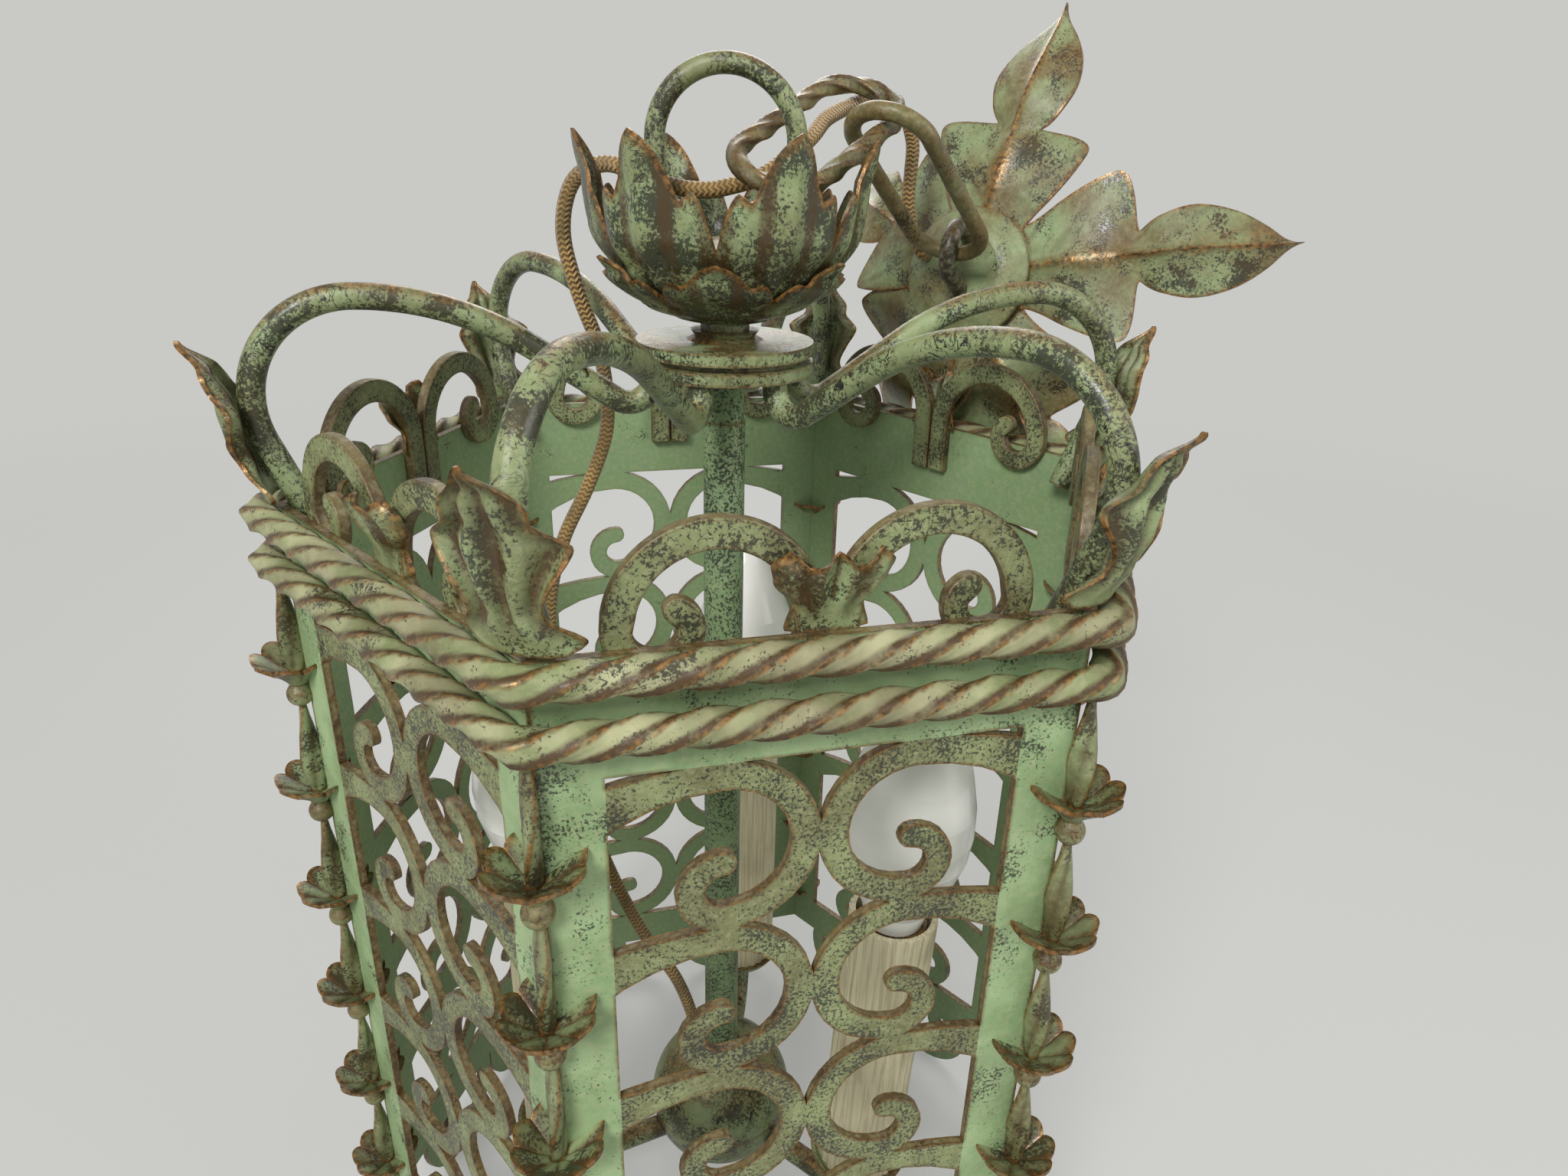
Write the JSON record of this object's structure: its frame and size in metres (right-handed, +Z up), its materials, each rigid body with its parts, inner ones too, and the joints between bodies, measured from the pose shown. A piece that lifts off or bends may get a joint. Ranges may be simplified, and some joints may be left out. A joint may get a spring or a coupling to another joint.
{
  "type": "hexagonal cage lantern",
  "caption": "Hanging hall lantern: hexagonal cage of cut scrollwork panels with candle lamps inside, roped band, scroll crest, petal cup, short chain, leafy ceiling rose and braided flex.",
  "frame": {"origin": "on the axis of the cage, at the plane that its lower scrolls stand on", "axes": "+Z up along the stem, -Y towards the front panel, +X to the right; the ceiling rose stands off towards +X +Y"},
  "size_m": [0.2875, 0.2354, 0.3815],
  "materials": {
    "iron_green": "speckled, rubbed at the edges",
    "iron_olive": "speckled, rubbed at the edges",
    "iron_bronze": "dark bronze with green in the hollows",
    "rope_cream": "pale paint worn to copper on the edges",
    "ivory_card": "matt, finely ribbed",
    "opal_glass": "opal white, bulb print left bare",
    "braided_silk": "herringbone braid"
  },
  "bodies": {
    "lantern": {"panel_front": "iron_green", "panel_front_right": "iron_green", "panel_back_right": "iron_green", "panel_back": "iron_green", "panel_back_left": "iron_green", "panel_front_left": "iron_green", "crest_front": "iron_olive", "crest_front_right": "iron_olive", "crest_back_right": "iron_olive", "crest_back": "iron_olive", "crest_back_left": "iron_olive", "crest_front_left": "iron_olive", "arm_left": "iron_green", "arm_front_left": "iron_green", "arm_front_right": "iron_green", "arm_right": "iron_green", "arm_back_right": "iron_green", "arm_back_left": "iron_green", "leaf_left": "iron_green", "leaf_front_left": "iron_green", "leaf_front_right": "iron_green", "leaf_right": "iron_green", "leaf_back_right": "iron_green", "leaf_back_left": "iron_green", "garland_left": "iron_bronze", "garland_front_left": "iron_bronze", "garland_front_right": "iron_bronze", "garland_right": "iron_bronze", "garland_back_right": "iron_bronze", "garland_back_left": "iron_bronze", "rope_upper": "rope_cream", "rope_lower": "rope_cream", "disc_lower": "iron_green", "disc_upper": "iron_green", "cup_neck": "iron_green", "cup_outer": "iron_green", "cup_inner": "iron_green", "hanging_ring": "iron_green", "stem_collar": "iron_green", "stem_tube": "iron_green", "hub_cap": "iron_green", "hub_bowl": "iron_green", "candle_arm_back": "iron_green", "candle_arm_left": "iron_green", "candle_arm_front": "iron_green", "sleeve_back": "ivory_card", "sleeve_left": "ivory_card", "sleeve_front": "ivory_card", "bulb_back": "opal_glass", "bulb_left": "opal_glass", "bulb_front": "opal_glass", "flex_drop": "braided_silk", "flex_cup": "braided_silk"},
    "link_upper_body": {"link_upper": "iron_bronze"},
    "link_lower_body": {"link_lower": "iron_bronze", "flex_chain": "braided_silk"},
    "rose_body": {"rose_hook": "iron_bronze", "rose_dome": "iron_green", "rose_leaves": "iron_green", "flex_rose": "braided_silk"}
  },
  "joints": [
    {"name": "chain_swing", "type": "hinge", "parent": "lantern", "child": "link_upper_body", "pos_m": [0.01586, -0.00455, 0.3335], "axis": [0.6769, -0.7361, 0], "range_deg": [0, 14], "deforming": ["flex_cup"]},
    {"name": "link_swing", "type": "hinge", "parent": "link_upper_body", "child": "link_lower_body", "pos_m": [0.04008, 0.01143, 0.34754], "axis": [0.6192, -0.7839, 0.0457], "range_deg": [0, 14], "deforming": ["flex_chain"]},
    {"name": "rose_swing", "type": "hinge", "parent": "link_lower_body", "child": "rose_body", "pos_m": [0.07812, 0.03937, 0.31146], "axis": [0.6192, -0.7839, 0.0457], "range_deg": [0, 14], "deforming": ["flex_rose"]}
  ]
}
